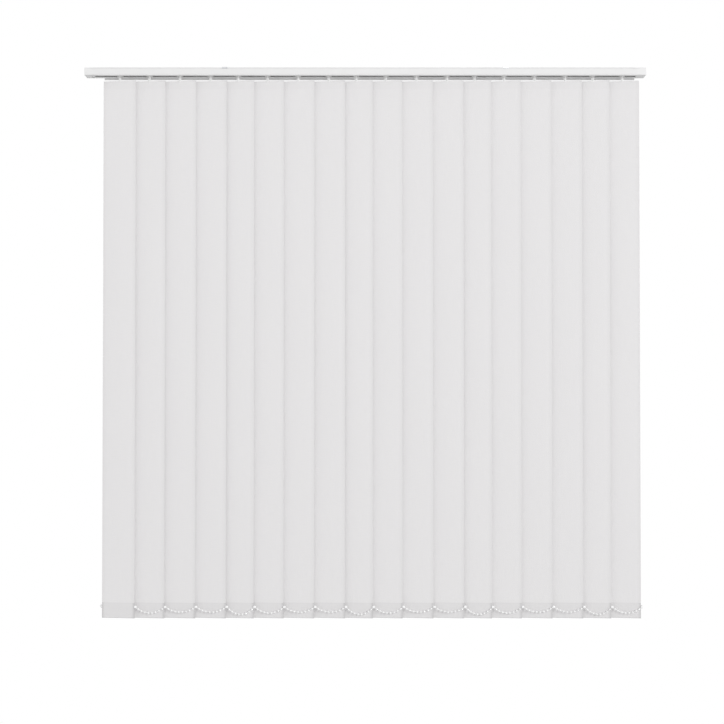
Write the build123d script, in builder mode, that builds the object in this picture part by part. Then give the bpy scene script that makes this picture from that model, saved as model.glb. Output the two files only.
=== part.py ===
from build123d import *
import os
from math import cos, hypot, pi, radians, sin, sqrt

# A vertical blind: a head rail with its carriers, the hanging fabric slats and the bead chains that link them.
# Millimetres and degrees. X runs along the rail, the viewer stands at -Y and Z points up.
# The origin is on the ceiling, midway between the screw holes of the two brackets.

os.makedirs("parts", exist_ok=True)

# Slats
SLAT_COUNT = 18
SLAT_WIDTH = 89.0
SLAT_LENGTH = 1436.4
SLAT_PITCH = 79.3
CLOSED_DEG = 8.0
FABRIC = 0.45
TOP_POCKET = 22.0
HEM_HEIGHT = 41.0
SEAM_HEIGHT = 2.5
PLY_SLANT = 2.0
POCKET_ROOM = 0.1

# Play of the carriers on their spacers, repeated along the row
SPACER_PLAY = 5.3
PLAY_SHARES = (0.0, 0.0, 0.5, 1.0)
PLAY_STEP_SHARE = 0.5

# Hangers at the slat tops
PLATE = 1.6
HANGER_DROP = 2.7
HANGER_SHOULDER = 9.6
HANGER_NECK = 7.0
INSERT_WIDTH = 80.0
NOTCH_DEPTH = 3.0
STEM_RADIUS = 2.2
JOURNAL_RADIUS = 3.0

# Bottom weights and their chain hooks
WEIGHT_WIDTH = 87.0
WEIGHT_HEIGHT = 28.0
HOOK_HEIGHT = 30.6
HOOK_REACH = 2.6
HOOK_PIN_RADIUS = 1.0
HOOK_MOUTH = 5.0
HOOK_EAR = 1.5

# Bead chains
CHAIN_SPAN_LENGTH = 88.0
BEADS_PER_SPAN = 8
BEAD_RADIUS = 2.6
BEAD_SIDES = 6
BEAD_PLACE_SHARES = (-0.95, -0.5, 0.5, 0.95)
BEAD_SIZE_SHARES = (0.3, 1.0, 1.0, 0.3)
CHAIN_CORD_RADIUS = 0.6
CHAIN_PLANE = 1.7
CLIP_WIDTH = 4.0
CLIP_FRONT = 2.8
CLIP_BACK = 1.8
CLIP_HEIGHT = 4.0
CHAIN_CLEARANCE = 0.3

# Head rail
RAIL_DEPTH = 44.0
RAIL_HEIGHT = 20.0
RAIL_WALL = 1.3
RAIL_SLOT = 16.0
RAIL_EDGE_RADIUS = 1.0
BACK_LIP = 5.2
RECESS_WIDTH = 22.0
RECESS_DEPTH = 3.5
LIP_HEIGHT = 1.6
GROOVE_HEIGHT = 1.6
GROOVE_DEPTH = 1.0
CONTROL_MARGIN = 67.6
IDLER_MARGIN = 36.3

# Mounting brackets
BRACKET_SPACING = 750.0
BRACKET_WIDTH = 14.0
BRACKET_PLATE = 1.2
BRACKET_SCREW_RADIUS = 2.25
BRACKET_ROOM = 0.15

# Carriers
CARRIER_LENGTH = 16.0
CARRIER_FRONT = 11.0
CARRIER_WALL = 1.2
CARRIER_ROOM = 0.4
NOSE_LENGTH = 12.0
WHEEL_RADIUS = 3.2
WHEEL_WIDTH = 3.2
WHEEL_SPREAD = 8.4
AXLE_RADIUS = 1.2
SPACER_WIDTH = 3.6
SPACER_THICKNESS = 0.5
SPACER_STEP = 0.9
SPACER_LEVELS = 6
SPACER_END = 2.5
SPACER_ROOT = 4.0

# Tilt drive
ROD_RADIUS = 2.5
ROD_FLUTES = 3
FLUTE_RADIUS = 0.7
ROD_HEIGHT_BELOW_CEILING = 11.8
WORM_RADIUS = 3.6
WHEEL_TEETH = 12
TOOTH_TIP_RADIUS = 4.5
TOOTH_DEPTH = 1.2
WORM_WHEEL_HEIGHT = 6.0
MESH_ROOM = 0.3
RUNNING_ROOM = 0.1

# End caps and what they hold
CAP_LENGTH = 24.0
CAP_WALL = 1.6
COVER = 1.6
TONGUE_LENGTH = 10.0
TONGUE = 2.0
TAB_LENGTH = 17.0
TAB_HEIGHT = 3.0
TAB = 0.8
BOSS_RADIUS = 4.5
BOSS_LENGTH = 4.0
SPROCKET_RADIUS = 6.8
SPROCKET_WIDTH = 8.0
SPROCKET_POCKETS = 8
DRIVE_BEAD_RADIUS = 2.25
CHAIN_OUTLET_RADIUS = 2.9
CORD_OUTLET_RADIUS = 1.8
CORD_OUTLET_SPACING = 6.0
PULLEY_RADIUS = 6.5
PULLEY_WIDTH = 5.0
PULLEY_GROOVE = 1.5
PULLEY_PIN_RADIUS = 1.5
PIN_FLANGE_RADIUS = 3.0
CUT = 1.0

# Heights
RAIL_TOP = -BRACKET_PLATE
RAIL_BOTTOM = RAIL_TOP - RAIL_HEIGHT
TRACK = RAIL_BOTTOM + RAIL_WALL
ROOF = RAIL_TOP - RECESS_DEPTH - RAIL_WALL
SHOULDER = RAIL_BOTTOM - HANGER_DROP
SLAT_TOP = SHOULDER - HANGER_SHOULDER
SLAT_BOTTOM = SLAT_TOP - SLAT_LENGTH
HOOK_Z = SLAT_BOTTOM + HOOK_HEIGHT
ROD_Z = -ROD_HEIGHT_BELOW_CEILING

# Places along and across the rail
RAIL_LENGTH = CONTROL_MARGIN + (SLAT_COUNT - 1) * SLAT_PITCH + IDLER_MARGIN
RAIL_END = RAIL_LENGTH / 2
FIRST_X = CONTROL_MARGIN - RAIL_END
ROD_Y = TOOTH_TIP_RADIUS + MESH_ROOM + WORM_RADIUS
CARRIER_BACK = ROD_Y + WORM_RADIUS + MESH_ROOM + CARRIER_WALL
POCKET = PLATE + 2 * POCKET_ROOM
FOLDED = POCKET + 2 * FABRIC
HOOK_RADIUS = SLAT_WIDTH / 2 + HOOK_REACH

# Directions on a closed slat: along its width and out of its back
ALONG = (cos(radians(CLOSED_DEG)), -sin(radians(CLOSED_DEG)), 0)
BACK = (sin(radians(CLOSED_DEG)), cos(radians(CLOSED_DEG)), 0)
FACE = (-BACK[0], -BACK[1], 0)

# The hook pin, the chain at its clips and the beads in front of a slat's edge, across the rail
HOOK_Y = HOOK_RADIUS * ALONG[1]
CHAIN_Y = HOOK_Y - CHAIN_PLANE
BEAD_Y = (SLAT_WIDTH * ALONG[1] - FOLDED * ALONG[0]) / 2 - BEAD_RADIUS - CHAIN_CLEARANCE


def carrier_x(number):
    """The place of a carrier along the rail: even steps, plus its share of the spacers' play."""
    index = number - 1
    return FIRST_X + index * SLAT_PITCH + SPACER_PLAY * PLAY_SHARES[index % len(PLAY_SHARES)]


def save(builder, name):
    builder.part.label = name
    export_step(builder.part, f"parts/{name}.step")


def block(low, high, mode=Mode.ADD):
    """A box between two opposite corners."""
    sizes = [b - a for a, b in zip(low, high)]
    middle = [(a + b) / 2 for a, b in zip(low, high)]
    with Locations(tuple(middle)):
        Box(*sizes, mode=mode)


# Head rail: one extrusion, drawn as its back half and mirrored, with a lip down the back over the slat tops
def make_head_rail():
    half = RAIL_DEPTH / 2
    recess = RECESS_WIDTH / 2
    groove_top = RAIL_TOP - LIP_HEIGHT
    groove_bottom = groove_top - GROOVE_HEIGHT
    outline = [
        (0, RAIL_TOP - RECESS_DEPTH),
        (recess, RAIL_TOP - RECESS_DEPTH),
        (recess, RAIL_TOP),
        (half, RAIL_TOP),
        (half, groove_top),
        (half - GROOVE_DEPTH, groove_top),
        (half - GROOVE_DEPTH, groove_bottom),
        (half, groove_bottom),
        (half, RAIL_BOTTOM),
        (RAIL_SLOT / 2, RAIL_BOTTOM),
        (RAIL_SLOT / 2, TRACK),
        (half - RAIL_WALL, TRACK),
        (half - RAIL_WALL, groove_bottom - RAIL_WALL),
        (half - GROOVE_DEPTH - RAIL_WALL, groove_bottom - RAIL_WALL),
        (half - GROOVE_DEPTH - RAIL_WALL, RAIL_TOP - RAIL_WALL),
        (recess + RAIL_WALL, RAIL_TOP - RAIL_WALL),
        (recess + RAIL_WALL, ROOF),
        (0, ROOF),
    ]
    with BuildPart() as rail:
        with BuildSketch(Plane.YZ) as section:
            with BuildLine():
                Polyline(*outline, close=True)
            make_face()
            mirror(about=Plane.YZ)
            lower = [v for v in section.vertices() if abs(v.Y - RAIL_BOTTOM) < POCKET_ROOM]
            corners = [v for v in lower if abs(v.X) > RAIL_SLOT / 2 + POCKET_ROOM]
            fillet(corners, min(RAIL_EDGE_RADIUS, RAIL_WALL - POCKET_ROOM))
        extrude(amount=RAIL_END, both=True)
        block(
            (max(carrier_x(1) - SLAT_WIDTH / 2, -RAIL_END), half - RAIL_WALL, RAIL_BOTTOM - BACK_LIP),
            (min(carrier_x(SLAT_COUNT) + SLAT_WIDTH / 2, RAIL_END), half, RAIL_BOTTOM + RAIL_EDGE_RADIUS),
        )
    save(rail, "head_rail")


# Bracket: a bent plate whose two hooks snap into the grooves of the rail
def make_bracket(name, x):
    outside = RAIL_DEPTH / 2 + BRACKET_ROOM
    toe_top = RAIL_TOP - LIP_HEIGHT - BRACKET_ROOM
    toe_bottom = RAIL_TOP - LIP_HEIGHT - GROOVE_HEIGHT + BRACKET_ROOM
    toe = RAIL_DEPTH / 2 - GROOVE_DEPTH + BRACKET_ROOM
    outline = [
        (0, 0),
        (outside + BRACKET_PLATE, 0),
        (outside + BRACKET_PLATE, toe_bottom),
        (toe, toe_bottom),
        (toe, toe_top),
        (outside, toe_top),
        (outside, RAIL_TOP),
        (0, RAIL_TOP),
    ]
    with BuildPart() as bracket:
        with BuildSketch(Plane.YZ.offset(x)):
            with BuildLine():
                Polyline(*outline, close=True)
            make_face()
            mirror(about=Plane.YZ)
        extrude(amount=BRACKET_WIDTH / 2, both=True)
        with Locations((x, 0, 0)):
            Hole(BRACKET_SCREW_RADIUS, depth=BRACKET_PLATE)
    save(bracket, name)


# End cap: a short box beyond the rail, with tongues in the rail and a web that carries the tilt rod
def make_end_cap(name, side, outlets):
    half = RAIL_DEPTH / 2
    inner = half - CAP_WALL
    near = RAIL_END
    far = RAIL_END + CAP_LENGTH - COVER

    def box(x0, x1, y0, y1, z0, z1, mode=Mode.ADD):
        low, high = sorted((side * x0, side * x1))
        block((low, y0, z0), (high, y1, z1), mode)

    with BuildPart() as cap:
        box(near, far, -half, half, RAIL_BOTTOM, RAIL_TOP)
        fillet(
            cap.edges().filter_by(Axis.X).group_by(Axis.Z)[0],
            min(RAIL_EDGE_RADIUS, CAP_WALL),
        )
        box(
            near + CAP_WALL,
            far + CUT,
            -inner,
            inner,
            RAIL_BOTTOM + CAP_WALL,
            RAIL_TOP - CAP_WALL,
            Mode.SUBTRACT,
        )
        tongue = half - RAIL_WALL - BRACKET_ROOM
        tongue_top = RAIL_TOP - LIP_HEIGHT - GROOVE_HEIGHT - RAIL_WALL - BRACKET_ROOM
        for y0, y1 in ((tongue - TONGUE, tongue), (-tongue, TONGUE - tongue)):
            box(near - TONGUE_LENGTH, near + CAP_WALL, y0, y1, TRACK + BRACKET_ROOM, tongue_top)
        tab_root = half + BRACKET_ROOM
        tab_top = RAIL_TOP - POCKET_ROOM
        box(near, near + TAB_LENGTH / 2, -tab_root - TAB, -inner, tab_top - TAB_HEIGHT, tab_top)
        box(
            near - TAB_LENGTH / 2,
            near,
            -tab_root - TAB,
            -tab_root,
            tab_top - TAB_HEIGHT,
            tab_top,
        )
        with BuildSketch(Plane.YZ.offset(side * near)):
            with Locations((ROD_Y, ROD_Z)):
                Circle(ROD_RADIUS + RUNNING_ROOM)
        extrude(amount=CAP_WALL + CUT, both=True, mode=Mode.SUBTRACT)
        for x, y, radius in outlets:
            with BuildSketch(Plane.XY.offset(RAIL_BOTTOM)):
                with Locations((x, y)):
                    Circle(radius)
            extrude(amount=CAP_WALL + CUT, both=True, mode=Mode.SUBTRACT)
    save(cap, name)


# Cover of an end cap: a plate on its open end, with the blind bearing of the tilt rod
def make_cap_cover(name, side):
    seat = side * (RAIL_END + CAP_LENGTH - COVER)
    outwards = Plane(origin=(seat, 0, 0), x_dir=(0, side, 0), z_dir=(side, 0, 0))
    inwards = Plane(origin=(seat, 0, 0), x_dir=(0, -side, 0), z_dir=(-side, 0, 0))
    with BuildPart() as cover:
        with BuildSketch(outwards):
            with Locations((0, (RAIL_TOP + RAIL_BOTTOM) / 2)):
                RectangleRounded(RAIL_DEPTH, RAIL_HEIGHT, RAIL_EDGE_RADIUS)
        extrude(amount=COVER)
        with BuildSketch(inwards):
            with Locations((-side * ROD_Y, ROD_Z)):
                Circle(BOSS_RADIUS)
                Circle(ROD_RADIUS + RUNNING_ROOM, mode=Mode.SUBTRACT)
        extrude(amount=BOSS_LENGTH)
    save(cover, name)


# Tilt rod: a fluted rod between the two bearings
def make_tilt_rod():
    reach = RAIL_END + CAP_LENGTH - COVER - RUNNING_ROOM
    with BuildPart() as rod:
        with BuildSketch(Plane.YZ):
            with Locations((ROD_Y, ROD_Z)):
                Circle(ROD_RADIUS)
                with PolarLocations(ROD_RADIUS, ROD_FLUTES):
                    Circle(FLUTE_RADIUS, mode=Mode.SUBTRACT)
        extrude(amount=reach, both=True)
    save(rod, "tilt_rod")


# Sprocket: the wheel of the tilt chain, fixed on the rod inside the control end cap
SPROCKET_X = -(RAIL_END + CAP_WALL + MESH_ROOM + SPROCKET_WIDTH / 2)


def make_sprocket():
    with BuildPart() as sprocket:
        with BuildSketch(Plane.YZ.offset(SPROCKET_X)):
            with Locations((ROD_Y, ROD_Z)):
                Circle(SPROCKET_RADIUS)
                Circle(ROD_RADIUS + POCKET_ROOM / 2, mode=Mode.SUBTRACT)
        extrude(amount=SPROCKET_WIDTH / 2, both=True)
        for index in range(SPROCKET_POCKETS):
            turn = 2 * pi * index / SPROCKET_POCKETS
            y = ROD_Y + SPROCKET_RADIUS * cos(turn)
            z = ROD_Z + SPROCKET_RADIUS * sin(turn)
            with Locations((SPROCKET_X, y, z)):
                Sphere(DRIVE_BEAD_RADIUS, mode=Mode.SUBTRACT)
    save(sprocket, "chain_sprocket")


# Return pulley of the draw cord on its flanged pin, inside the idler end cap
PULLEY_X = RAIL_END + (CAP_LENGTH + CAP_WALL - COVER) / 2
PULLEY_Y = -(RAIL_DEPTH / 2 - CAP_WALL - PULLEY_RADIUS - PIN_FLANGE_RADIUS)
PULLEY_Z = RAIL_TOP - RAIL_HEIGHT / 2


def make_return_pulley():
    half = PULLEY_WIDTH / 2
    bore = PULLEY_PIN_RADIUS + RUNNING_ROOM
    outline = [
        (bore, -half),
        (PULLEY_RADIUS, -half),
        (PULLEY_RADIUS - PULLEY_GROOVE, 0),
        (PULLEY_RADIUS, half),
        (bore, half),
    ]
    axis = Plane(origin=(PULLEY_X, PULLEY_Y, PULLEY_Z), x_dir=(1, 0, 0), z_dir=(0, -1, 0))
    with BuildPart() as pulley:
        with BuildSketch(axis):
            with BuildLine():
                Polyline(*outline, close=True)
            make_face()
        revolve(axis=Axis((PULLEY_X, PULLEY_Y, PULLEY_Z), (0, 0, 1)))
    save(pulley, "return_pulley")


def make_pulley_pin():
    floor = RAIL_BOTTOM + CAP_WALL
    ceiling = RAIL_TOP - CAP_WALL
    flange_top = PULLEY_Z - PULLEY_WIDTH / 2 - RUNNING_ROOM
    with BuildPart() as pin:
        with BuildSketch(Plane.XY.offset(floor)):
            with Locations((PULLEY_X, PULLEY_Y)):
                Circle(PIN_FLANGE_RADIUS)
        extrude(amount=flange_top - floor)
        with BuildSketch(Plane.XY.offset(floor)):
            with Locations((PULLEY_X, PULLEY_Y)):
                Circle(PULLEY_PIN_RADIUS)
        extrude(amount=ceiling - floor)
    save(pin, "pulley_pin")


# Carrier: a block on four wheels, open on top, with the worm in it and a spacer strip to the next carrier
WHEEL_FLOOR = ROD_Z - WORM_WHEEL_HEIGHT / 2
WINDOW_LOW = TRACK + CARRIER_ROOM + CARRIER_WALL
WINDOW_HIGH = WINDOW_LOW + SPACER_LEVELS * SPACER_STEP
WINDOW_BACK = -(TOOTH_TIP_RADIUS + CARRIER_ROOM + CARRIER_WALL / 2)
WINDOW_FRONT = WINDOW_BACK - SPACER_WIDTH - 2 * MESH_ROOM


def carrier_shape(level):
    """A carrier at the middle of the rail; the level is the height step of its spacer strip, or None for no strip."""
    half = CARRIER_LENGTH / 2
    low = TRACK + CARRIER_ROOM
    high = ROOF - CARRIER_ROOM
    worm_half = half - CARRIER_WALL
    nose = RAIL_SLOT / 2 - CARRIER_ROOM
    axle_z = TRACK + POCKET_ROOM + WHEEL_RADIUS
    with BuildPart() as carrier:
        block((-half, -CARRIER_FRONT, low), (half, CARRIER_BACK, high))
        block(
            (-NOSE_LENGTH / 2, -nose, RAIL_BOTTOM + CARRIER_ROOM),
            (NOSE_LENGTH / 2, nose, low + CARRIER_WALL),
        )
        with BuildSketch(Plane.XY.offset(WHEEL_FLOOR - RUNNING_ROOM)):
            Circle(TOOTH_TIP_RADIUS + CARRIER_ROOM)
        extrude(amount=high - WHEEL_FLOOR + CUT, mode=Mode.SUBTRACT)
        with BuildSketch(Plane.XY.offset(RAIL_BOTTOM)):
            Circle(JOURNAL_RADIUS + RUNNING_ROOM)
        extrude(amount=WHEEL_FLOOR - RAIL_BOTTOM, mode=Mode.SUBTRACT)
        block(
            (-worm_half, ROD_Y - WORM_RADIUS - MESH_ROOM, ROD_Z - WORM_RADIUS - MESH_ROOM),
            (worm_half, ROD_Y + WORM_RADIUS + MESH_ROOM, high + CUT),
            Mode.SUBTRACT,
        )
        with BuildSketch(Plane.YZ):
            with Locations((ROD_Y, ROD_Z)):
                Circle(ROD_RADIUS + MESH_ROOM)
        extrude(amount=half + CUT, both=True, mode=Mode.SUBTRACT)
        block(
            (-half - CUT, WINDOW_FRONT, WINDOW_LOW),
            (half + CUT, WINDOW_BACK, WINDOW_HIGH),
            Mode.SUBTRACT,
        )
        wheels = ((-CARRIER_FRONT, -1), (CARRIER_BACK, 1))
        for wall, outwards in wheels:
            for wheel_x in (-WHEEL_SPREAD / 2, WHEEL_SPREAD / 2):
                hub = Plane(
                    origin=(wheel_x, wall, axle_z), x_dir=(1, 0, 0), z_dir=(0, outwards, 0)
                )
                with BuildSketch(hub):
                    Circle(AXLE_RADIUS)
                extrude(amount=CARRIER_ROOM + WHEEL_WIDTH)
                with BuildSketch(hub.offset(CARRIER_ROOM)):
                    Circle(WHEEL_RADIUS)
                extrude(amount=WHEEL_WIDTH)
        if level is not None:
            bottom = WINDOW_LOW + SPACER_STEP * level + (SPACER_STEP - SPACER_THICKNESS) / 2
            top = bottom + SPACER_THICKNESS
            tip = SLAT_PITCH + SPACER_PLAY * PLAY_STEP_SHARE + half + SPACER_END
            block(
                (half - SPACER_ROOT, WINDOW_FRONT - MESH_ROOM, bottom),
                (half, WINDOW_BACK + MESH_ROOM, top),
            )
            block(
                (half - SPACER_ROOT, WINDOW_FRONT + MESH_ROOM, bottom),
                (tip, WINDOW_BACK - MESH_ROOM, top),
            )
        with BuildSketch(Plane.YZ):
            with Locations((ROD_Y, ROD_Z)):
                Circle(WORM_RADIUS)
                Circle(ROD_RADIUS + MESH_ROOM / 2, mode=Mode.SUBTRACT)
        extrude(amount=worm_half - RUNNING_ROOM, both=True)
    return carrier.part


def make_carriers():
    shapes = {}
    for number in range(1, SLAT_COUNT + 1):
        level = number % SPACER_LEVELS if number < SLAT_COUNT else None
        if level not in shapes:
            shapes[level] = carrier_shape(level)
        with BuildPart() as carrier:
            add(shapes[level].moved(Location((carrier_x(number), 0, 0))))
        save(carrier, f"carrier_{number:02d}")


def worm_wheel_outline():
    """Straight-sided teeth: two points on the tip circle and two on the root circle for each tooth."""
    points = []
    for tooth in range(WHEEL_TEETH):
        for step, radius in enumerate(
            (TOOTH_TIP_RADIUS, TOOTH_TIP_RADIUS, TOOTH_TIP_RADIUS - TOOTH_DEPTH, TOOTH_TIP_RADIUS - TOOTH_DEPTH)
        ):
            turn = 2 * pi * (tooth + step / 4) / WHEEL_TEETH
            points.append((radius * cos(turn), radius * sin(turn)))
    return points


# Slat: the folded fabric, the hanger with its stem and worm wheel, and the weight in the hem
def slat_shape():
    """A closed slat at the middle of the rail."""
    across = Plane(origin=(0, 0, 0), x_dir=BACK, z_dir=ALONG)
    broad = Plane(origin=(0, 0, 0), x_dir=ALONG, z_dir=FACE)
    half = FOLDED / 2
    room = POCKET / 2
    front_ply = -half + FABRIC
    seam_ply = front_ply + FABRIC
    pocket_seam = SLAT_TOP - TOP_POCKET + SEAM_HEIGHT
    hem_seam = SLAT_BOTTOM + HEM_HEIGHT - SEAM_HEIGHT
    fold_top = SLAT_TOP - half
    fold_bottom = SLAT_BOTTOM + half
    hook_low = HOOK_Z - HOOK_MOUTH / 2
    hook_high = HOOK_Z + HOOK_MOUTH / 2
    hook_end = HOOK_RADIUS + HOOK_PIN_RADIUS
    mouth_floor = HOOK_RADIUS - HOOK_REACH + POCKET_ROOM
    with BuildPart() as slat:
        with BuildSketch(across):
            with BuildLine():
                Line((-half, fold_bottom), (-half, fold_top))
                ThreePointArc((-half, fold_top), (0, SLAT_TOP), (half, fold_top))
                Polyline(
                    (half, fold_top),
                    (half, pocket_seam + PLY_SLANT),
                    (seam_ply, pocket_seam),
                    (seam_ply, SLAT_TOP - TOP_POCKET),
                    (front_ply, SLAT_TOP - TOP_POCKET),
                    (front_ply, SLAT_BOTTOM + HEM_HEIGHT),
                    (seam_ply, SLAT_BOTTOM + HEM_HEIGHT),
                    (seam_ply, hem_seam),
                    (half, hem_seam - PLY_SLANT),
                    (half, fold_bottom),
                )
                ThreePointArc((half, fold_bottom), (0, SLAT_BOTTOM), (-half, fold_bottom))
            make_face()
            for edge, seam, into in ((fold_top, pocket_seam, 1), (fold_bottom, hem_seam, -1)):
                with BuildLine():
                    Line((front_ply, seam), (front_ply, edge))
                    ThreePointArc((front_ply, edge), (0, edge + into * room), (room, edge))
                    Polyline((room, edge), (room, seam + into * PLY_SLANT), (front_ply, seam))
                make_face(mode=Mode.SUBTRACT)
        extrude(amount=SLAT_WIDTH / 2, both=True)
        with BuildSketch(broad):
            with Locations((0, SLAT_TOP)):
                Rectangle(HANGER_NECK + 2 * MESH_ROOM, 2 * NOTCH_DEPTH)
        extrude(amount=FOLDED, both=True, mode=Mode.SUBTRACT)
        with BuildSketch(broad):
            insert_low = pocket_seam + PLY_SLANT + POCKET_ROOM
            with Locations((0, (insert_low + fold_top) / 2)):
                Rectangle(INSERT_WIDTH, fold_top - insert_low)
            with Locations((0, (fold_top + SHOULDER) / 2)):
                Rectangle(HANGER_NECK, SHOULDER - fold_top)
        extrude(amount=PLATE / 2, both=True)
        for foot, top, radius in (
            (SLAT_TOP, WHEEL_FLOOR, STEM_RADIUS),
            (RAIL_BOTTOM + CARRIER_ROOM, WHEEL_FLOOR, JOURNAL_RADIUS),
        ):
            with BuildSketch(Plane.XY.offset(foot)):
                Circle(radius)
            extrude(amount=top - foot)
        with BuildSketch(Plane.XY.offset(WHEEL_FLOOR)):
            with BuildLine():
                Polyline(*worm_wheel_outline(), close=True)
            make_face()
        extrude(amount=WORM_WHEEL_HEIGHT)
        with BuildSketch(broad):
            with Locations((0, fold_bottom + WEIGHT_HEIGHT / 2)):
                Rectangle(WEIGHT_WIDTH, WEIGHT_HEIGHT)
            with Locations((0, HOOK_Z)):
                Rectangle(2 * hook_end, HOOK_MOUTH + 2 * HOOK_EAR)
            for side in (-1, 1):
                with Locations((side * (mouth_floor + hook_end) / 2, HOOK_Z)):
                    Rectangle(hook_end - mouth_floor, HOOK_MOUTH, mode=Mode.SUBTRACT)
        extrude(amount=PLATE / 2, both=True)
        for side in (-1, 1):
            pin = (side * HOOK_RADIUS * ALONG[0], side * HOOK_RADIUS * ALONG[1])
            with BuildSketch(Plane.XY.offset(hook_low - HOOK_EAR)):
                with Locations(pin):
                    Circle(HOOK_PIN_RADIUS)
            extrude(amount=hook_high - hook_low + 2 * HOOK_EAR)
    return slat.part


def make_slats():
    shape = slat_shape()
    for number in range(1, SLAT_COUNT + 1):
        with BuildPart() as slat:
            add(shape.moved(Location((carrier_x(number), 0, 0))))
        save(slat, f"slat_{number:02d}")


def span_points(span):
    """The middles of one span's clips and beads, from the first clip at x 0, along a hanging parabola.

    The sag follows from the span and the chain's length. The beads are evenly spaced along the curve and
    hang just in front of the slat edges, so they clear the hems closed either way and stacked.
    """
    sag = span * sqrt(max(CHAIN_SPAN_LENGTH / span - 1, 0) * 3 / 8)
    steps = 40 * (BEADS_PER_SPAN + 1)
    lengths = [0.0]
    for step in range(steps):
        slope = 4 * sag * (1 - 2 * (step + 1 / 2) / steps) / span
        lengths.append(lengths[-1] + hypot(1, slope) * span / steps)
    points = []
    for bead in range(BEADS_PER_SPAN + 2):
        reach = lengths[-1] * bead / (BEADS_PER_SPAN + 1)
        t = min(range(steps + 1), key=lambda step: abs(lengths[step] - reach)) / steps
        y = CHAIN_Y if bead in (0, BEADS_PER_SPAN + 1) else BEAD_Y
        points.append(Vector(span * t, y, HOOK_Z - 4 * sag * t * (1 - t)))
    return points


def strand_shape(span):
    """A strand of beads between two clips: four six-sided sections for each bead, and the cord between.

    The first and last sections lie flat on the sides of the two clips.
    """
    points = span_points(span)
    side = Vector(CLIP_WIDTH / 2, 0, 0)
    sections = [(points[0] + side, Vector(1, 0, 0), CHAIN_CORD_RADIUS)]
    for before, here, after in zip(points, points[1:], points[2:]):
        along = (after - before).normalized()
        for place, size in zip(BEAD_PLACE_SHARES, BEAD_SIZE_SHARES):
            radius = max(size * BEAD_RADIUS, CHAIN_CORD_RADIUS)
            sections.append((here + along * (place * BEAD_RADIUS), along, radius))
    sections.append((points[-1] - side, Vector(1, 0, 0), CHAIN_CORD_RADIUS))
    with BuildPart() as strand:
        for origin, along, radius in sections:
            with BuildSketch(Plane(origin=origin, x_dir=(0, 1, 0), z_dir=along)):
                RegularPolygon(radius, BEAD_SIDES)
        loft(ruled=True)
    return strand.part


def clip_shape():
    """A chain clip at x 0: a small block with the bore for the hook pin."""
    with BuildPart() as clip:
        block(
            (-CLIP_WIDTH / 2, HOOK_Y - CLIP_FRONT, HOOK_Z - CLIP_HEIGHT / 2),
            (CLIP_WIDTH / 2, HOOK_Y + CLIP_BACK, HOOK_Z + CLIP_HEIGHT / 2),
        )
        with Locations((0, HOOK_Y, HOOK_Z + CLIP_HEIGHT / 2)):
            Hole(HOOK_PIN_RADIUS + RUNNING_ROOM, depth=CLIP_HEIGHT)
    return clip.part


# Bead chains: a clip on every hook of one side and a strand from clip to clip.
# The rear chain is the front one turned half round about the upright.
def make_chains():
    clip = clip_shape()
    strands = {}
    pieces = {1: [], -1: []}
    for number in range(1, SLAT_COUNT + 1):
        for side in pieces:
            place = Location((carrier_x(number) + side * HOOK_RADIUS * ALONG[0], 0, 0), (0, 0, 90 - side * 90))
            pieces[side].append(clip.moved(place))
            neighbour = number + side
            if 1 <= neighbour <= SLAT_COUNT:
                span = abs(carrier_x(neighbour) - carrier_x(number))
                key = round(span / SLAT_PITCH, 4)
                if key not in strands:
                    strands[key] = strand_shape(span)
                pieces[side].append(strands[key].moved(place))
    for side, name in ((1, "front_bead_chain"), (-1, "rear_bead_chain")):
        solids = [solid for piece in pieces[side] for solid in piece.solids()]
        chain = Compound(solids)
        chain.label = name
        export_step(chain, f"parts/{name}.step")


make_head_rail()
make_bracket("mounting_bracket_left", -BRACKET_SPACING / 2)
make_bracket("mounting_bracket_right", BRACKET_SPACING / 2)
chain_outlets = [
    (SPROCKET_X, ROD_Y + turn * (SPROCKET_RADIUS - CHAIN_OUTLET_RADIUS / 2), CHAIN_OUTLET_RADIUS)
    for turn in (-1, 1)
]
cord_outlets = [
    (SPROCKET_X, -step * CORD_OUTLET_SPACING, CORD_OUTLET_RADIUS) for step in (1, 2)
]
make_end_cap("control_end_cap", -1, chain_outlets + cord_outlets)
make_end_cap("idler_end_cap", 1, [])
make_cap_cover("control_cap_cover", -1)
make_cap_cover("idler_cap_cover", 1)
make_tilt_rod()
make_sprocket()
make_return_pulley()
make_pulley_pin()
make_carriers()
make_slats()
make_chains()
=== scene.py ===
from math import radians

import bpy
import numpy as np
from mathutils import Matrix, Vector


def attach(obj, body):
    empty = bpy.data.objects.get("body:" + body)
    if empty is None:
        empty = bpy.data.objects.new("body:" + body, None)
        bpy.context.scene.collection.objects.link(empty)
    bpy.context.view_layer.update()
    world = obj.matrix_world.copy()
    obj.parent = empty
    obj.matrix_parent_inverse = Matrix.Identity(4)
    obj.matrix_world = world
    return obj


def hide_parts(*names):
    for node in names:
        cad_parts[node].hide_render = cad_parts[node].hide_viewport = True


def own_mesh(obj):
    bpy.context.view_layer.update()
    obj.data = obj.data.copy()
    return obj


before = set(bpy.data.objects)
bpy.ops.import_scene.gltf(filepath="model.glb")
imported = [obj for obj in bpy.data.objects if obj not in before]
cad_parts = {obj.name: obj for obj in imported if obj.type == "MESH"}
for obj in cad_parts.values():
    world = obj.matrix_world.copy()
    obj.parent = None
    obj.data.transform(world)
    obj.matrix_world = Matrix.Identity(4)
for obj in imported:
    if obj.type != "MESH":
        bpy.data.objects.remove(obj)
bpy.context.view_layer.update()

# All sizes are in metres.

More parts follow.
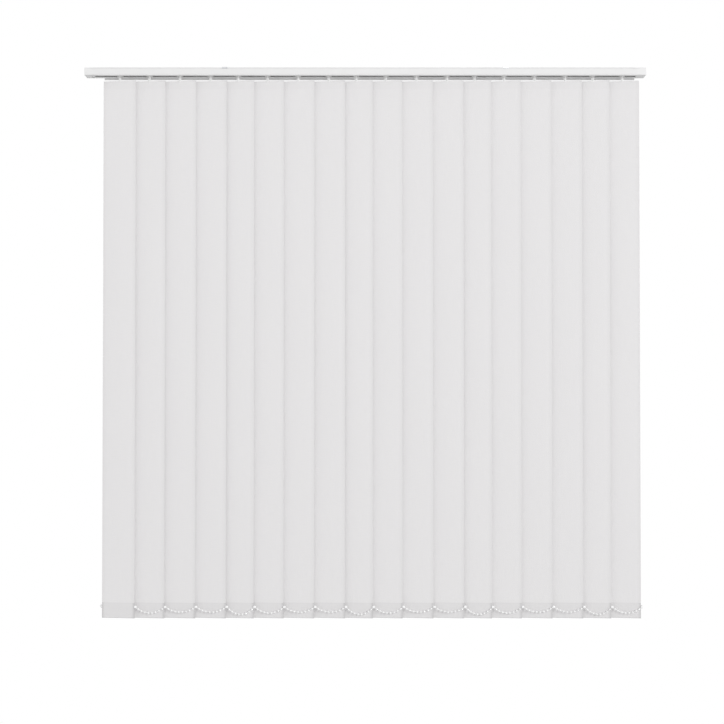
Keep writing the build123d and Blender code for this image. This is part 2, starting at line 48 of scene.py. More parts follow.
# Slats and their places along the rail
SLAT_COUNT = 18
SLAT_WIDTH = 0.089
SLAT_LENGTH = 1.4364
SLAT_TOP = -0.0335
SLAT_BOTTOM = SLAT_TOP - SLAT_LENGTH
SLAT_PITCH = 0.0793
FIRST_X = -0.6584
SPACER_PLAY = 0.0053
PLAY_SHARES = np.array([0.0, 0.0, 0.5, 1.0])  # of the play, repeated along the row
CLOSED = radians(8)

# Cloth, with its bottom hem and top pocket
FABRIC = 0.00045
FOLDED = 0.0027  # depth over both plies
HEM_HEIGHT = 0.041
TOP_POCKET = 0.022
SEAM_HEIGHT = 0.0025
PLY_STEP = FABRIC * 1.03  # between the plies at a weld
PLY_SLANT = 0.002
NOTCH_WIDTH = 0.0076
NOTCH_DEPTH = 0.003
MAP_STRIP = 0.1  # width of each slat's strip of the cloth map
FRONT_ROWS = 60
SIDE_COLUMNS = 6
FOLD_POINTS = 9

# Bow and wave of the hanging cloth
BOW = 0.0012
BOW_LEVEL = 0.4  # share of the bow that is taken off, so that it lies on both sides of the middle
WAVE = 0.0003
WAVES_UP = 2.3  # in the length of a slat
WAVE_SHIFT = 0.37  # of a wave, from one slat to the next
WAVE_SLANT = 20  # radians for each metre across
HELD_SHARE = 0.04  # of the length, kept flat by the weight
FREE_SHARE = 0.93

# Painted shade on the cloth's hem, top pocket, bottom fold and edges, and a darker weld line, as shares of
# black
# painted shade: hem and top pocket darker, in place of the light that passes through single cloth
HEM_SHADE = 0.055
POCKET_SHADE = 0.012
SEAM_SHADE = 0.012
# painted shade along the bottom fold of the hem
FOLD_SHADE = 0.14
FOLD_LINE = 0.0016
# painted shade over both edges, where the slats lap over each other
EDGE_FADE = 0.012
EDGE_SHADE = 0.04
# painted shadow of the lap, deeper beside the hem
HEM_EDGE_FADE = 0.008
HEM_EDGE_SHADE = 0.12

# Hangers
RAIL_BOTTOM = -0.0212
SHOULDER = -0.0239
PLATE = 0.0016
PLATE_CORNER = 0.002
PLATE_ROUNDING = 0.0002
CLOTH_ROOM = 0.0001
INSERT_WIDTH = 0.080
HANGER_NECK = 0.007
NECK_CORNER = 0.001
STEM_RADIUS = 0.0022
STEM_ROUNDING = 0.0001
JOURNAL_RADIUS = 0.003
JOURNAL_FOOT = RAIL_BOTTOM + 0.0004
JOURNAL_LOW = RAIL_BOTTOM + 0.0005
WHEEL_FLOOR = -0.0148
WHEEL_HEIGHT = 0.006
WHEEL_TEETH = 12
TOOTH_TIP_RADIUS = 0.0045
TOOTH_DEPTH = 0.0012

# Weights and their hooks
WEIGHT_WIDTH = 0.087
HOOK_RADIUS = 0.0471
HOOK_HEIGHT = 0.0306
HOOK_Z = SLAT_BOTTOM + HOOK_HEIGHT
HOOK_PIN_RADIUS = 0.001
HOOK_MOUTH = 0.005
HOOK_EAR = 0.0015
HOOK_CORNER = 0.0006

# Bead chains
CHAIN_SPAN_LENGTH = 0.088
BEADS_PER_SPAN = 8
BEAD_RADIUS = 0.0026
BEAD_STEP = 4  # places of the cord from bead to bead
CORD_RADIUS = 0.0006
CHAIN_PLANE = 0.0017
CHAIN_CLEARANCE = 0.0003
CURVE_STEPS = 720
CLIP_HALF = np.array([0.0023, 0.0023, 0.002])
CLIP_FORWARD = 0.0005
CLIP_PAD_HALF = np.array([0.0036, 0.0013, 0.0029])

# Floor, light and camera
FLOOR_REACH = 40.0
FLOOR_Z = -2.4
SHADOW_REACH = 2.6
WHITE_REACH = 3.6
SKY_LEVEL = 0.62
CAMERA_PLACE = (-0.0086, -4.0, -0.8724)
CAMERA_RISE = 1.127  # degrees above level
CAMERA_LENS = 74.39
CAMERA_SHIFT = 0.0032

# Directions of a closed slat: along its width, square to its face, and up
ALONG = np.array([np.cos(CLOSED), -np.sin(CLOSED), 0.0])
BACK = np.array([np.sin(CLOSED), np.cos(CLOSED), 0.0])
UP = np.array([0.0, 0.0, 1.0])

# The chain runs from the hooks to a plane in front of all slat edges
CHAIN_Y = HOOK_RADIUS * ALONG[1] - CHAIN_PLANE
BEAD_Y = (SLAT_WIDTH * ALONG[1] - FOLDED * ALONG[0]) / 2 - BEAD_RADIUS - CHAIN_CLEARANCE

numbers = np.arange(SLAT_COUNT)
carrier_x = FIRST_X + numbers * SLAT_PITCH + SPACER_PLAY * PLAY_SHARES[numbers % len(PLAY_SHARES)]


def slat_centre(number, height=0.0):
    """The point on a slat's turning line at a height."""
    return np.array([carrier_x[number], 0.0, height])


# Meshes

def new_piece(name, points, faces, body, material, slot, smooth=True, uv=None):
    """Puts points and faces into a mesh at the origin, with its finish, and lets it ride on a body."""
    mesh = bpy.data.meshes.new(name)
    mesh.from_pydata(points.reshape(-1, 3).tolist(), [], [list(f) for f in faces])
    mesh.update()
    mesh.polygons.foreach_set("use_smooth", np.full(len(mesh.polygons), smooth))
    if uv is not None:
        corner = np.zeros(len(mesh.loops), np.int32)
        mesh.loops.foreach_get("vertex_index", corner)
        layer = mesh.uv_layers.new(name="cloth")
        layer.data.foreach_set("uv", uv.reshape(-1, 2)[corner].astype(np.float32).ravel())
    piece = bpy.data.objects.new(name, mesh)
    bpy.context.collection.objects.link(piece)
    mesh.materials.append(material)
    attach(piece, body)
    return piece


def grid_faces(rows, columns, close_columns=False):
    """Quads between neighbouring points of a grid; the last column joins the first where it is closed."""
    r = np.arange(rows - 1)[:, None]
    c = np.arange(columns if close_columns else columns - 1)[None, :]
    d = (c + 1) % columns
    quads = np.stack(
        [r * columns + c, r * columns + d, (r + 1) * columns + d, (r + 1) * columns + c], axis=-1
    )
    return quads.reshape(-1, 4)


def gather(parts):
    """Joins several (points, faces) into one list of points and one of faces."""
    points, faces, start = [], [], 0
    for part_points, part_faces in parts:
        flat = part_points.reshape(-1, 3)
        points.append(flat)
        faces.extend([[int(i) + start for i in face] for face in part_faces])
        start += len(flat)
    return np.concatenate(points), faces


def plate(outline, centre, thickness=PLATE):
    """A flat plate: an outline of (across, height) set out on both sides of the slat's middle plane."""
    outline = np.asarray(outline)
    face = centre + outline[:, :1] * ALONG + outline[:, 1:] * UP
    points = np.concatenate([face - BACK * thickness / 2, face + BACK * thickness / 2])
    n = len(outline)
    ring = np.arange(n)
    nxt = (ring + 1) % n
    sides = np.stack([ring, ring + n, nxt + n, nxt], axis=1)
    faces = [list(ring), list(ring[::-1] + n)] + sides.tolist()
    return points, faces


def turned(profile, centre, count=20):
    """A turned piece: a profile of (radius, height) carried round the upright through the centre.

    It is closed at both ends.
    """
    profile = np.asarray(profile)
    turn = np.linspace(0, 2 * np.pi, count, endpoint=False)
    ring = np.stack([np.cos(turn), np.sin(turn), np.zeros(count)], axis=1)
    points = centre + profile[:, None, :1] * ring[None] + profile[:, None, 1:] * UP
    faces = grid_faces(len(profile), count, True).tolist()
    last = (len(profile) - 1) * count
    faces += [list(range(count))[::-1], list(range(last, last + count))]
    return points, faces


def toothed(centre, low, high):
    """The worm wheel: two points on the tip circle and two on the root circle a tooth, carried upwards."""
    step = np.arange(4 * WHEEL_TEETH)
    radius = TOOTH_TIP_RADIUS - TOOTH_DEPTH * (step % 4 > 1)
    turn = 2 * np.pi * step / (4 * WHEEL_TEETH)
    ring = centre + np.stack([radius * np.cos(turn), radius * np.sin(turn), 0 * turn], axis=1)
    points = np.concatenate([ring + UP * low, ring + UP * high])
    n = len(step)
    faces = grid_faces(2, n, True).tolist()
    faces += [list(range(n))[::-1], list(range(n, 2 * n))]
    return points, faces


def round_edges(piece, width):
    """A small bevel on the sharp edges, so that they catch the light."""
    bevel = piece.modifiers.new("edges", "BEVEL")
    bevel.width = width
    bevel.segments = 2
    bevel.limit_method = "ANGLE"
    bevel.angle_limit = radians(40)


# Shader groups shared by the finishes

def new_group(name, inputs, outputs):
    """An empty shader group: its inputs are (name, kind, value) and its outputs (name, kind)."""
    tree = bpy.data.node_groups.new(name, "ShaderNodeTree")
    for socket, kind, value in inputs:
        made = tree.interface.new_socket(socket, in_out="INPUT", socket_type=kind)
        if value is not None:
            made.default_value = value
    for socket, kind in outputs:
        tree.interface.new_socket(socket, in_out="OUTPUT", socket_type=kind)
    return tree, tree.nodes.new("NodeGroupInput"), tree.nodes.new("NodeGroupOutput")


def math_node(tree, operation, a, b=None, c=None):
    """A math node; each operand is a socket or a number."""
    node = tree.nodes.new("ShaderNodeMath")
    node.operation = operation
    for socket, value in zip(node.inputs, (a, b, c)):
        if value is None:
            continue
        if isinstance(value, bpy.types.NodeSocket):
            tree.links.new(value, socket)
        else:
            socket.default_value = value
    return node.outputs[0]


def blend_values(tree, a, share_a, b, share_b):
    """The sum of two values, each times its share."""
    return math_node(tree, "MULTIPLY_ADD", a, share_a, math_node(tree, "MULTIPLY", b, share_b))


def noise_node(tree, place, scale, detail, stretch=None):
    """A noise over a place, stretched along its axes where asked."""
    if stretch is not None:
        mapping = tree.nodes.new("ShaderNodeMapping")
        mapping.inputs["Scale"].default_value = stretch
        tree.links.new(place, mapping.inputs["Vector"])
        place = mapping.outputs["Vector"]
    noise = tree.nodes.new("ShaderNodeTexNoise")
    noise.inputs["Detail"].default_value = detail
    tree.links.new(place, noise.inputs["Vector"])
    if isinstance(scale, bpy.types.NodeSocket):
        tree.links.new(scale, noise.inputs["Scale"])
    else:
        noise.inputs["Scale"].default_value = scale
    return noise.outputs["Fac"]


def make_weave():
    """Plain weave: warp and weft are sines of the two cloth directions, and their product gives the threads.

    Long and cross slubs are stretched noise. The tone is threads and slubs together, the height is the
    threads alone.
    """
    tree, given, result = new_group(
        "plain_weave",
        [("Cloth", "NodeSocketVector", None), ("Threads", "NodeSocketFloat", 1500.0)],
        [("Tone", "NodeSocketFloat"), ("Height", "NodeSocketFloat")],
    )
    cloth = given.outputs["Cloth"]
    split = tree.nodes.new("ShaderNodeSeparateXYZ")
    tree.links.new(cloth, split.inputs[0])
    rate = math_node(tree, "MULTIPLY", given.outputs["Threads"], np.pi)
    warp = math_node(tree, "SINE", math_node(tree, "MULTIPLY", split.outputs["X"], rate))
    weft = math_node(tree, "SINE", math_node(tree, "MULTIPLY", split.outputs["Y"], rate))
    height = math_node(tree, "MULTIPLY_ADD", math_node(tree, "MULTIPLY", warp, weft), 0.5, 0.5)
    long_slub = noise_node(tree, cloth, scale=1.0, detail=2.0, stretch=(900.0, 22.0, 1.0))
    cross_slub = noise_node(tree, cloth, scale=1.0, detail=2.0, stretch=(40.0, 700.0, 1.0))
    slubs = blend_values(tree, cross_slub, 0.5, long_slub, 0.5)
    tree.links.new(blend_values(tree, height, 0.25, slubs, 0.75), result.inputs["Tone"])
    tree.links.new(height, result.inputs["Height"])
    return tree


def make_grain():
    """The skin of a coat or moulding: fine noise for the peel and coarse noise for slow changes of tone."""
    tree, given, result = new_group(
        "fine_grain",
        [("Place", "NodeSocketVector", None), ("Peel", "NodeSocketFloat", 1200.0)],
        [("Tone", "NodeSocketFloat"), ("Height", "NodeSocketFloat")],
    )
    peel = noise_node(tree, given.outputs["Place"], scale=given.outputs["Peel"], detail=3.0)
    slow = noise_node(tree, given.outputs["Place"], scale=14.0, detail=2.0)
    tree.links.new(blend_values(tree, peel, 0.4, slow, 0.6), result.inputs["Tone"])
    tree.links.new(peel, result.inputs["Height"])
    return tree


def make_drawn():
    """Drawn or plated metal: noise stretched along the rail, crossed by the cells of a zinc coat."""
    tree, given, result = new_group(
        "drawn_metal",
        [("Place", "NodeSocketVector", None), ("Cells", "NodeSocketFloat", 350.0)],
        [("Tone", "NodeSocketFloat"), ("Height", "NodeSocketFloat")],
    )
    lines = noise_node(tree, given.outputs["Place"], scale=1.0, detail=3.0, stretch=(12.0, 2600.0, 2600.0))
    cells = tree.nodes.new("ShaderNodeTexVoronoi")
    tree.links.new(given.outputs["Place"], cells.inputs["Vector"])
    tree.links.new(given.outputs["Cells"], cells.inputs["Scale"])
    tree.links.new(blend_values(tree, cells.outputs["Distance"], 0.5, lines, 0.6), result.inputs["Tone"])
    tree.links.new(lines, result.inputs["Height"])
    return tree


PLAIN_WEAVE = make_weave()
FINE_GRAIN = make_grain()
DRAWN_METAL = make_drawn()


# Finishes

def paint_cloth_shade(tree, place, colour):
    """Painted shade on the cloth: the hem and top pocket a little darker, in place of the light that passes
    through single cloth but less through the double cloth, a thin darker line at the weld, and painted shade
    along the fold.

    Both edges get painted shade over a few millimetres, where the slats lap over each other, and most beside
    the hem
    as painted shadow of the lap: the distance across the slat, taken within its own strip of the map, runs
    from one edge to the other.
    """
    split = tree.nodes.new("ShaderNodeSeparateXYZ")
    tree.links.new(place, split.inputs[0])
    up = split.outputs["Y"]
    within = math_node(tree, "WRAP", split.outputs["X"], MAP_STRIP / 2, -MAP_STRIP / 2)
    across = math_node(tree, "ABSOLUTE", within)

    def edge_shade(width, depth):
        fade = tree.nodes.new("ShaderNodeMapRange")
        fade.interpolation_type = "SMOOTHSTEP"
        fade.inputs["From Min"].default_value = SLAT_WIDTH / 2 - width
        fade.inputs["From Max"].default_value = SLAT_WIDTH / 2
        fade.inputs["To Max"].default_value = depth
        tree.links.new(across, fade.inputs["Value"])
        return fade.outputs["Result"]

    hem = math_node(tree, "LESS_THAN", up, HEM_HEIGHT)
    pocket = math_node(tree, "GREATER_THAN", up, SLAT_LENGTH - TOP_POCKET)
    seam = math_node(tree, "COMPARE", up, HEM_HEIGHT - SEAM_HEIGHT / 2, SEAM_HEIGHT / 2)
    fold = math_node(tree, "LESS_THAN", up, FOLD_LINE)
    # painted shade along both edges, where the slats lap
    shade = edge_shade(EDGE_FADE, EDGE_SHADE)
    for mask, depth in (
        # painted shade of the hem, then painted shadow of the lap beside the hem
        (hem, HEM_SHADE),
        (hem, edge_shade(HEM_EDGE_FADE, HEM_EDGE_SHADE)),
        (pocket, POCKET_SHADE),
        (seam, SEAM_SHADE),
        # painted shade along the bottom fold
        (fold, FOLD_SHADE),
    ):
        shade = math_node(tree, "MULTIPLY_ADD", mask, depth, shade)
    mix = tree.nodes.new("ShaderNodeMix")
    mix.data_type = "RGBA"
    mix.inputs["B"].default_value = (0.0, 0.0, 0.0, 1)
    tree.links.new(shade, mix.inputs["Factor"])
    tree.links.new(colour, mix.inputs["A"])
    return mix.outputs["Result"]


def new_finish(
    name, group, setting, dark, light, rough, relief, metallic=0.0, coat=0.0, sheen=0.0, cloth=False
):
    """A finish: a shader group gives tone, for colour and roughness, and height, for a shallow bump."""
    material = bpy.data.materials.new(name)
    material.use_nodes = True
    tree = material.node_tree
    shader = tree.nodes["Principled BSDF"]
    place = tree.nodes.new("ShaderNodeTexCoord").outputs["UV" if cloth else "Object"]
    made = tree.nodes.new("ShaderNodeGroup")
    made.node_tree = group
    tree.links.new(place, made.inputs[0])
    made.inputs[1].default_value = setting
    colours = tree.nodes.new("ShaderNodeMix")
    colours.data_type = "RGBA"
    colours.inputs["A"].default_value = (*dark, 1)
    colours.inputs["B"].default_value = (*light, 1)
    tree.links.new(made.outputs["Tone"], colours.inputs["Factor"])
    colour = colours.outputs["Result"]
    # the cloth gets painted shade on its hem, top pocket, bottom fold and lapped edges
    if cloth:
        colour = paint_cloth_shade(tree, place, colour)
    tree.links.new(colour, shader.inputs["Base Color"])
    spread = tree.nodes.new("ShaderNodeMapRange")
    spread.inputs["To Min"].default_value = rough[0]
    spread.inputs["To Max"].default_value = rough[1]
    tree.links.new(made.outputs["Tone"], spread.inputs["Value"])
    tree.links.new(spread.outputs["Result"], shader.inputs["Roughness"])
    bump = tree.nodes.new("ShaderNodeBump")
    bump.inputs["Strength"].default_value = 0.5
    bump.inputs["Distance"].default_value = relief
    tree.links.new(made.outputs["Height"], bump.inputs["Height"])
    tree.links.new(bump.outputs["Normal"], shader.inputs["Normal"])
    shader.inputs["Metallic"].default_value = metallic
    shader.inputs["Coat Weight"].default_value = coat
    shader.inputs["Sheen Weight"].default_value = sheen
    return material


slat_cloth = new_finish(
    "slat_cloth", PLAIN_WEAVE, 1500.0, dark=(0.748, 0.738, 0.743), light=(0.828, 0.818, 0.823),
    rough=(0.75, 0.95), relief=0.00008, sheen=0.1, cloth=True,
)
powder_coat = new_finish(
    "powder_coat", FINE_GRAIN, 1500.0, dark=(0.75, 0.75, 0.75), light=(0.82, 0.82, 0.82),
    rough=(0.5, 0.62), relief=0.00003,
)
cap_moulding = new_finish(
    "cap_moulding", FINE_GRAIN, 2600.0, dark=(0.76, 0.76, 0.76), light=(0.83, 0.83, 0.83),
    rough=(0.45, 0.58), relief=0.00002,
)
inner_moulding = new_finish(
    "inner_moulding", FINE_GRAIN, 2200.0, dark=(0.62, 0.62, 0.61), light=(0.72, 0.72, 0.71),
    rough=(0.42, 0.56), relief=0.00002,
)
hanger_moulding = new_finish(
    "hanger_moulding", FINE_GRAIN, 2200.0, dark=(0.86, 0.86, 0.86), light=(0.92, 0.92, 0.92),
    rough=(0.3, 0.42), relief=0.00002,
)
chain_moulding = new_finish(
    "chain_moulding", FINE_GRAIN, 3000.0, dark=(0.93, 0.93, 0.93), light=(0.97, 0.97, 0.97),
    rough=(0.2, 0.3), relief=0.00001, coat=0.4,
)
weight_moulding = new_finish(
    "weight_moulding", FINE_GRAIN, 2400.0, dark=(0.66, 0.66, 0.66), light=(0.74, 0.74, 0.74),
    rough=(0.4, 0.55), relief=0.00002,
)
zinc_plate = new_finish(
    "zinc_plate", DRAWN_METAL, 350.0, dark=(0.50, 0.51, 0.53), light=(0.72, 0.73, 0.74),
    rough=(0.28, 0.45), relief=0.00002, metallic=1.0,
)
drawn_rod = new_finish(
    "drawn_rod", DRAWN_METAL, 900.0, dark=(0.60, 0.60, 0.61), light=(0.78, 0.78, 0.79),
    rough=(0.25, 0.4), relief=0.00002, metallic=1.0,
)


# Finishes of the CAD pieces that stay
node_finish = {
    "head_rail": powder_coat,
    "mounting_bracket_left": zinc_plate,
    "mounting_bracket_right": zinc_plate,
    "control_end_cap": cap_moulding,
    "idler_end_cap": cap_moulding,
    "control_cap_cover": cap_moulding,
    "idler_cap_cover": cap_moulding,
    "tilt_rod": drawn_rod,
    "chain_sprocket": inner_moulding,
    "return_pulley": inner_moulding,
    "pulley_pin": zinc_plate,
}
node_finish.update({f"carrier_{number + 1:02d}": inner_moulding for number in numbers})
for node, material in node_finish.items():
    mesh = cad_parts[node].data
    mesh.materials.clear()
    mesh.materials.append(material)


# Slats

def cloth_path():
    """The cloth's middle line as (depth, height): from the hem's end, down the back ply, round the bottom
    fold, up the front, round the top fold and down to the end of the top pocket.

    Straight runs are evenly spaced and each fold is half a circle.
    """
    front = -(FOLDED - FABRIC) / 2
    weld = front + PLY_STEP
    low, high = SLAT_BOTTOM + FOLDED / 2, SLAT_TOP - FOLDED / 2
    hem_end, pocket_end = SLAT_BOTTOM + HEM_HEIGHT, SLAT_TOP - TOP_POCKET
    half_turn = np.linspace(0, np.pi, FOLD_POINTS)
    front_heights = np.linspace(low, high, FRONT_ROWS + 2)[1:-1]
    runs = [
        [(weld, hem_end), (weld, hem_end - SEAM_HEIGHT)],
        [(-front, hem_end - SEAM_HEIGHT - PLY_SLANT), (-front, SLAT_BOTTOM + HEM_HEIGHT / 2)],
        np.stack([-front * np.cos(half_turn), low + front * np.sin(half_turn)], axis=1),
        np.stack([np.full(FRONT_ROWS, front), front_heights], axis=1),
        np.stack([front * np.cos(half_turn), high - front * np.sin(half_turn)], axis=1),
        [(-front, SLAT_TOP - TOP_POCKET / 2), (-front, pocket_end + SEAM_HEIGHT + PLY_SLANT)],
        [(weld, pocket_end + SEAM_HEIGHT), (weld, pocket_end)],
    ]
    return np.concatenate([np.asarray(run) for run in runs])


def make_cloth(number):
    """One slat: the cloth's line carried across the width, bowed by a parabola and waved by a slanted sine.

    Bow and wave grow with half a sine over the length: deepest at mid length, and none at the hanger and the
    weight, which hold the cloth flat.
    """
    path = cloth_path()
    centre = slat_centre(number)
    notch = NOTCH_WIDTH / 2
    left_side = np.linspace(-SLAT_WIDTH / 2, -notch, SIDE_COLUMNS)
    right_side = np.linspace(notch, SLAT_WIDTH / 2, SIDE_COLUMNS)
    across = np.concatenate([left_side, [0.0], right_side])
    depth, height = path[:, :1], path[:, 1:]
    share = (height - SLAT_BOTTOM) / SLAT_LENGTH
    free = np.clip(np.sin(np.pi * np.clip((share - HELD_SHARE) / FREE_SHARE, 0, 1)), 0, 1)
    bow = BOW * free * ((2 * across / SLAT_WIDTH) ** 2 - BOW_LEVEL)
    phase = 2 * np.pi * (WAVES_UP * share + WAVE_SHIFT * number) + WAVE_SLANT * across
    out = depth + bow + WAVE * free * np.sin(phase)
    points = (
        centre
        + across[None, :, None] * ALONG
        + out[:, :, None] * BACK
        + (height + 0 * across)[:, :, None] * UP
    )
    uv = np.stack([across + 0 * height + MAP_STRIP * number, height - SLAT_BOTTOM + 0 * across], axis=-1)
    faces = grid_faces(*points.shape[:2])
    middle = points.reshape(-1, 3)[faces].mean(axis=1)
    cut = (np.abs((middle - centre) @ ALONG) < notch) & (middle[:, 2] > SLAT_TOP - NOTCH_DEPTH)
    cloth = new_piece(
        f"cloth_{number + 1:02d}", points, faces[~cut].tolist(), f"vane_{number + 1:02d}", slat_cloth,
        "slat_fabric", smooth=False, uv=uv,
    )
    thickness = cloth.modifiers.new("cloth", "SOLIDIFY")
    thickness.thickness = FABRIC
    thickness.offset = 0.0
    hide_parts(f"slat_{number + 1:02d}")
    return cloth


def mirrored(right):
    """A closed outline from its right half, listed upwards."""
    right = np.asarray(right)
    return np.concatenate([right, right[::-1] * [-1, 1]])


def make_hanger(number):
    """The hanger: insert and neck as one plate, with the stem, its journal and the worm wheel above."""
    centre = slat_centre(number)
    body = f"vane_{number + 1:02d}"
    insert_low = SLAT_TOP - TOP_POCKET + SEAM_HEIGHT + PLY_SLANT + CLOTH_ROOM
    insert_high = SLAT_TOP - FOLDED / 2
    right = [
        (INSERT_WIDTH / 2 - PLATE_CORNER, insert_low),
        (INSERT_WIDTH / 2, insert_low + PLATE_CORNER),
        (INSERT_WIDTH / 2, insert_high),
        (HANGER_NECK / 2, insert_high),
        (HANGER_NECK / 2, SHOULDER - NECK_CORNER),
        (HANGER_NECK / 2 - NECK_CORNER, SHOULDER),
    ]
    hanger = new_piece(
        f"hanger_{number + 1:02d}", *plate(mirrored(right), centre), body, hanger_moulding, "inner_plastic",
        smooth=False,
    )
    round_edges(hanger, PLATE_ROUNDING)
    profile = [
        (STEM_RADIUS, SLAT_TOP),
        (STEM_RADIUS, JOURNAL_FOOT),
        (JOURNAL_RADIUS, JOURNAL_LOW),
        (JOURNAL_RADIUS, WHEEL_FLOOR),
    ]
    wheel = toothed(centre, WHEEL_FLOOR, WHEEL_FLOOR + WHEEL_HEIGHT)
    stem = new_piece(
        f"stem_{number + 1:02d}", *gather([turned(profile, centre), wheel]), body, cap_moulding,
        "inner_plastic", smooth=False,
    )
    round_edges(stem, STEM_ROUNDING)
    return hanger


def make_weight(number):
    """The weight: a plate in the hem, with an open hook and an upright pin for the clip at each end."""
    centre = slat_centre(number)
    low = SLAT_BOTTOM + FOLDED / 2
    mouth = HOOK_MOUTH / 2
    ear = mouth + HOOK_EAR
    end = HOOK_RADIUS + HOOK_PIN_RADIUS
    floor = SLAT_WIDTH / 2 + CLOTH_ROOM
    right = [
        (WEIGHT_WIDTH / 2 - PLATE_CORNER, low),
        (WEIGHT_WIDTH / 2, low + PLATE_CORNER),
        (WEIGHT_WIDTH / 2, HOOK_Z - ear),
        (end - HOOK_CORNER, HOOK_Z - ear),
        (end, HOOK_Z - ear + HOOK_CORNER),
        (end, HOOK_Z - mouth),
        (floor, HOOK_Z - mouth),
        (floor, HOOK_Z + mouth),
        (end, HOOK_Z + mouth),
        (end, HOOK_Z + ear - HOOK_CORNER),
        (end - HOOK_CORNER, HOOK_Z + ear),
    ]
    pin = [(HOOK_PIN_RADIUS, HOOK_Z - mouth), (HOOK_PIN_RADIUS, HOOK_Z + mouth)]
    pins = [turned(pin, centre + side * HOOK_RADIUS * ALONG, count=12) for side in (-1, 1)]
    weight = new_piece(
        f"weight_{number + 1:02d}", *gather([plate(mirrored(right), centre)] + pins),
        f"vane_{number + 1:02d}", weight_moulding, "chain_plastic", smooth=False,
    )
    round_edges(weight, PLATE_ROUNDING)


for number in range(SLAT_COUNT):
    cloth = make_cloth(number)
    hanger = make_hanger(number)
    make_weight(number)


# Bead chains

def chain_line(span):
    """One span as seen from its first clip: a hanging parabola, whose sag is the span times the root of three
    eighths of the chain's spare share.

    Places are evenly spaced along the curve, some to each bead step. Within one step of a clip they come
    forward from the hook to the plane in front of the slat edges.
    """
    sag = span * np.sqrt(3 / 8 * max(CHAIN_SPAN_LENGTH / span - 1, 0))
    fine = np.linspace(0, 1, CURVE_STEPS + 1)
    slope = 4 * sag * (1 - 2 * fine) / span
    pace = np.hypot(1, slope)
    length = np.concatenate([[0], np.cumsum((pace[1:] + pace[:-1]) / 2)])
    places = BEAD_STEP * (BEADS_PER_SPAN + 1) + 1
    t = np.interp(np.linspace(0, 1, places), length / length[-1], fine)
    ease = np.clip(np.minimum(t, 1 - t) * (BEADS_PER_SPAN + 1), 0, 1)
    y = CHAIN_Y * (1 - ease) + BEAD_Y * ease
    return np.stack([span * t, y, HOOK_Z - 4 * sag * t * (1 - t)], axis=1)


def tube(line, radius, sides=6):
    """A round cord: a ring of points carried along a line, square to it, closed at both ends."""
    along = np.gradient(line, axis=0)
    along /= np.linalg.norm(along, axis=1, keepdims=True)
    across = np.cross(along, [0.0, 1.0, 0.0])
    across /= np.linalg.norm(across, axis=1, keepdims=True)
    out = np.cross(across, along)
    turn = np.linspace(0, 2 * np.pi, sides, endpoint=False)
    points = line[:, None] + radius * (
        np.cos(turn)[None, :, None] * across[:, None] + np.sin(turn)[None, :, None] * out[:, None]
    )
    rows = len(line)
    faces = grid_faces(rows, sides, True)[:, ::-1].tolist()
    faces += [list(range(sides)), list(range((rows - 1) * sides, rows * sides))[::-1]]
    return points, faces


def globes(places, size, sides, rings, power=1.0):
    """Round shapes set at every place: rings between two poles, from sines and cosines of a rise and a turn.

    Each sine and cosine is raised to the power, with its sign kept, so a power under one squares the globe
    off towards a block with rounded edges.
    """
    rise = np.linspace(-np.pi / 2, np.pi / 2, rings + 2)[1:-1, None]
    turn = np.linspace(0, 2 * np.pi, sides, endpoint=False)[None]

    def squared(wave):
        return np.sign(wave) * np.abs(wave) ** power

    globe = np.stack(
        [
            squared(np.cos(rise)) * squared(np.cos(turn)),
            squared(np.cos(rise)) * squared(np.sin(turn)),
            squared(np.sin(rise)) + 0 * turn,
        ],
        axis=-1,
    ).reshape(-1, 3)
    globe = np.concatenate([globe, [[0, 0, -1], [0, 0, 1]]])
    ring = np.arange(sides)
    nxt = (ring + 1) % sides
    last = (rings - 1) * sides
    bottom = np.stack([np.full(sides, rings * sides), nxt, ring], axis=1)
    top = np.stack([np.full(sides, rings * sides + 1), last + ring, last + nxt], axis=1)
    points = places[:, None] + size * globe[None]
    start = len(globe) * np.arange(len(places))[:, None, None]
    faces = (grid_faces(rings, sides, True)[None] + start).reshape(-1, 4).tolist()
    faces += (np.concatenate([bottom, top])[None] + start).reshape(-1, 3).tolist()
    return points, faces


def make_chain(name, node, body, side):
    """A clip with a flat front pad on every hook of one side, and a strand of beads from clip to clip.

    The side is 1 for the right-hand hooks, in front, and -1 for the left-hand ones, behind.
    """
    hook = side * HOOK_RADIUS * ALONG
    pad_y = side * (BEAD_Y + BEAD_RADIUS - CLIP_PAD_HALF[1])
    parts = []
    for number in range(SLAT_COUNT):
        place = slat_centre(number, HOOK_Z) + hook
        clip = place - [0, side * CLIP_FORWARD, 0]
        parts.append(globes(clip[None], CLIP_HALF, sides=16, rings=9, power=0.4))
        pad = np.array([[place[0], pad_y, HOOK_Z]])
        parts.append(globes(pad, CLIP_PAD_HALF, sides=16, rings=7, power=0.5))
        neighbour = number + side
        if 0 <= neighbour < SLAT_COUNT:
            line = chain_line(abs(carrier_x[neighbour] - carrier_x[number])) * [side, side, 1]
            line = line + [place[0], 0.0, 0.0]
            parts.append(tube(line, CORD_RADIUS))
            parts.append(globes(line[BEAD_STEP:-BEAD_STEP:BEAD_STEP], BEAD_RADIUS, sides=8, rings=5))
    chain = new_piece(name, *gather(parts), body, chain_moulding, "chain_plastic")
    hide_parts(node)
    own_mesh(chain)


make_chain("front_chain_beads", "front_bead_chain", "front_chain", 1)
make_chain("rear_chain_beads", "rear_bead_chain", "rear_chain", -1)


# Floor, light and camera

def seen_rays(tree):
    """One for the rays that show the background: straight from the camera, or by gloss or glass."""
    path = tree.nodes.new("ShaderNodeLightPath")
    seen = math_node(tree, "MAXIMUM", path.outputs["Is Camera Ray"], path.outputs["Is Glossy Ray"])
    return math_node(tree, "MAXIMUM", seen, path.outputs["Is Transmission Ray"])


